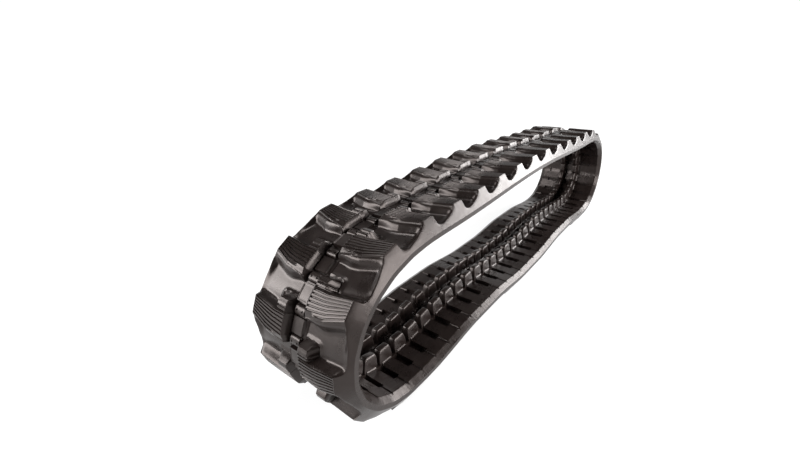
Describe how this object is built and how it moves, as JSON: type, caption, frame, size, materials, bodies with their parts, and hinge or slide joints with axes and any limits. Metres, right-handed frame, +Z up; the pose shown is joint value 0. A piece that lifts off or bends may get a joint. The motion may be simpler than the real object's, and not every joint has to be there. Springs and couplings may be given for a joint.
{
  "type": "rubber track",
  "caption": "Endless short-pitch rubber track for a mini excavator, with staggered kinked lugs, guide teeth, sprocket windows and steel cores.",
  "frame": {"origin": "under the middle of the loop, on the floor that it stands on", "axes": "+X along the loop, from the bend nearest the camera to the far one, +Y across the belt, away from the camera, +Z up"},
  "size_m": [1.4889, 0.23, 0.3614],
  "materials": {
    "rubber": "satin moulded black rubber",
    "steel": "forged core bars on a steel cord ply"
  },
  "bodies": {
    "section_01": {"rubber_section_01": "rubber", "steel_core_section_01": "steel"},
    "section_02": {"rubber_section_02": "rubber", "steel_core_section_02": "steel"},
    "section_03": {"rubber_section_03": "rubber", "steel_core_section_03": "steel"},
    "section_04": {"rubber_section_04": "rubber", "steel_core_section_04": "steel"},
    "section_05": {"rubber_section_05": "rubber", "steel_core_section_05": "steel"},
    "section_06": {"rubber_section_06": "rubber", "steel_core_section_06": "steel"},
    "section_07": {"rubber_section_07": "rubber", "steel_core_section_07": "steel"},
    "section_08": {"rubber_section_08": "rubber", "steel_core_section_08": "steel"},
    "section_09": {"rubber_section_09": "rubber", "steel_core_section_09": "steel"},
    "section_10": {"rubber_section_10": "rubber", "steel_core_section_10": "steel"},
    "section_11": {"rubber_section_11": "rubber", "steel_core_section_11": "steel"},
    "section_12": {"rubber_section_12": "rubber", "steel_core_section_12": "steel"},
    "section_13": {"rubber_section_13": "rubber", "steel_core_section_13": "steel"},
    "section_14": {"rubber_section_14": "rubber", "steel_core_section_14": "steel"},
    "section_15": {"rubber_section_15": "rubber", "steel_core_section_15": "steel"},
    "section_16": {"rubber_section_16": "rubber", "steel_core_section_16": "steel"},
    "section_17": {"rubber_section_17": "rubber", "steel_core_section_17": "steel"},
    "section_18": {"rubber_section_18": "rubber", "steel_core_section_18": "steel"},
    "section_19": {"rubber_section_19": "rubber", "steel_core_section_19": "steel"},
    "section_20": {"rubber_section_20": "rubber", "steel_core_section_20": "steel"},
    "section_21": {"rubber_section_21": "rubber", "steel_core_section_21": "steel"},
    "section_22": {"rubber_section_22": "rubber", "steel_core_section_22": "steel"}
  },
  "joints": [
    {"name": "flex_04_05", "type": "hinge", "parent": "section_04", "child": "section_05", "pos_m": [0.0912, 0, 0.03002], "axis": [0, -1, 0], "range_deg": [-4.16, 3]},
    {"name": "flex_05_06", "type": "hinge", "parent": "section_05", "child": "section_06", "pos_m": [0.23458, 0, 0.04321], "axis": [0, -1, 0], "range_deg": [-3, 4.16]},
    {"name": "flex_06_07", "type": "hinge", "parent": "section_06", "child": "section_07", "pos_m": [0.37858, 0, 0.04321], "axis": [0, -1, 0], "range_deg": [-3, 4.16]},
    {"name": "flex_07_08", "type": "hinge", "parent": "section_07", "child": "section_08", "pos_m": [0.52196, 0, 0.03002], "axis": [0, -1, 0], "range_deg": [-3.41, 2.46]},
    {"name": "flex_08_09", "type": "hinge", "parent": "section_08", "child": "section_09", "pos_m": [0.66077, 0, 0.05908], "axis": [0, -1, 0], "range_deg": [-1.3, 0.94]},
    {"name": "flex_09_10", "type": "hinge", "parent": "section_09", "child": "section_10", "pos_m": [0.71442, 0, 0.18503], "axis": [0, -1, 0], "range_deg": [-1.16, 1.61]},
    {"name": "flex_10_11", "type": "hinge", "parent": "section_10", "child": "section_11", "pos_m": [0.62609, 0, 0.2926], "axis": [0, -1, 0], "range_deg": [-1.8, 2.5], "stiffness_Nm_per_rad": 6000, "springref_deg": -1.11},
    {"name": "flex_11_12", "type": "hinge", "parent": "section_11", "child": "section_12", "pos_m": [0.48547, 0, 0.31859], "axis": [0, -1, 0], "range_deg": [-1, 1.38]},
    {"name": "flex_12_13", "type": "hinge", "parent": "section_12", "child": "section_13", "pos_m": [0.34149, 0, 0.32032], "axis": [0, -1, 0], "range_deg": [-0.28, 0.21]},
    {"name": "flex_13_14", "type": "hinge", "parent": "section_13", "child": "section_14", "pos_m": [0.1976, 0, 0.32603], "axis": [0, -1, 0], "range_deg": [-1.82, 1.32]},
    {"name": "flex_03_04", "type": "hinge", "parent": "section_04", "child": "section_03", "pos_m": [-0.0528, 0, 0.03002], "axis": [0, 1, 0], "range_deg": [-4.16, 3]},
    {"name": "flex_02_03", "type": "hinge", "parent": "section_03", "child": "section_02", "pos_m": [-0.19618, 0, 0.04321], "axis": [0, 1, 0], "range_deg": [-3, 4.16]},
    {"name": "flex_01_02", "type": "hinge", "parent": "section_02", "child": "section_01", "pos_m": [-0.34018, 0, 0.04321], "axis": [0, 1, 0], "range_deg": [-3, 4.16]},
    {"name": "flex_22_01", "type": "hinge", "parent": "section_01", "child": "section_22", "pos_m": [-0.48356, 0, 0.03002], "axis": [0, 1, 0], "range_deg": [-3.71, 2.67]},
    {"name": "flex_21_22", "type": "hinge", "parent": "section_22", "child": "section_21", "pos_m": [-0.62615, 0, 0.04376], "axis": [0, 1, 0], "range_deg": [-1.79, 1.29]},
    {"name": "flex_20_21", "type": "hinge", "parent": "section_21", "child": "section_20", "pos_m": [-0.71419, 0, 0.14971], "axis": [0, 1, 0], "range_deg": [-0.86, 1.18]},
    {"name": "flex_19_20", "type": "hinge", "parent": "section_20", "child": "section_19", "pos_m": [-0.65781, 0, 0.2757], "axis": [0, 1, 0], "range_deg": [-2, 2.77]},
    {"name": "flex_18_19", "type": "hinge", "parent": "section_19", "child": "section_18", "pos_m": [-0.52209, 0, 0.31775], "axis": [0, 1, 0], "range_deg": [-1.4, 1.93]},
    {"name": "flex_17_18", "type": "hinge", "parent": "section_18", "child": "section_17", "pos_m": [-0.3781, 0, 0.31976], "axis": [0, 1, 0], "range_deg": [-0.21, 0.28]},
    {"name": "flex_16_17", "type": "hinge", "parent": "section_17", "child": "section_16", "pos_m": [-0.2342, 0, 0.32511], "axis": [0, 1, 0], "range_deg": [-1.35, 0.98]},
    {"name": "flex_15_16", "type": "hinge", "parent": "section_16", "child": "section_15", "pos_m": [-0.0903, 0, 0.33041], "axis": [0, 1, 0], "range_deg": [-2.94, 2.13]}
  ],
  "couplings": [
    {"joint": "flex_04_05", "follows": "flex_10_11", "ratio": -1.655},
    {"joint": "flex_05_06", "follows": "flex_10_11", "ratio": 1.655},
    {"joint": "flex_06_07", "follows": "flex_10_11", "ratio": 1.655},
    {"joint": "flex_07_08", "follows": "flex_10_11", "ratio": -1.3558},
    {"joint": "flex_08_09", "follows": "flex_10_11", "ratio": -0.5126},
    {"joint": "flex_09_10", "follows": "flex_10_11", "ratio": 0.63426},
    {"joint": "flex_11_12", "follows": "flex_10_11", "ratio": 0.54256},
    {"joint": "flex_12_13", "follows": "flex_10_11", "ratio": -0.10392},
    {"joint": "flex_13_14", "follows": "flex_10_11", "ratio": -0.72152},
    {"joint": "flex_03_04", "follows": "flex_10_11", "ratio": -1.655},
    {"joint": "flex_02_03", "follows": "flex_10_11", "ratio": 1.655},
    {"joint": "flex_01_02", "follows": "flex_10_11", "ratio": 1.655},
    {"joint": "flex_22_01", "follows": "flex_10_11", "ratio": -1.4745},
    {"joint": "flex_21_22", "follows": "flex_10_11", "ratio": -0.70704},
    {"joint": "flex_20_21", "follows": "flex_10_11", "ratio": 0.46434},
    {"joint": "flex_19_20", "follows": "flex_10_11", "ratio": 1.1015},
    {"joint": "flex_18_19", "follows": "flex_10_11", "ratio": 0.76566},
    {"joint": "flex_17_18", "follows": "flex_10_11", "ratio": 0.10451},
    {"joint": "flex_16_17", "follows": "flex_10_11", "ratio": -0.53235},
    {"joint": "flex_15_16", "follows": "flex_10_11", "ratio": -1.1696}
  ]
}
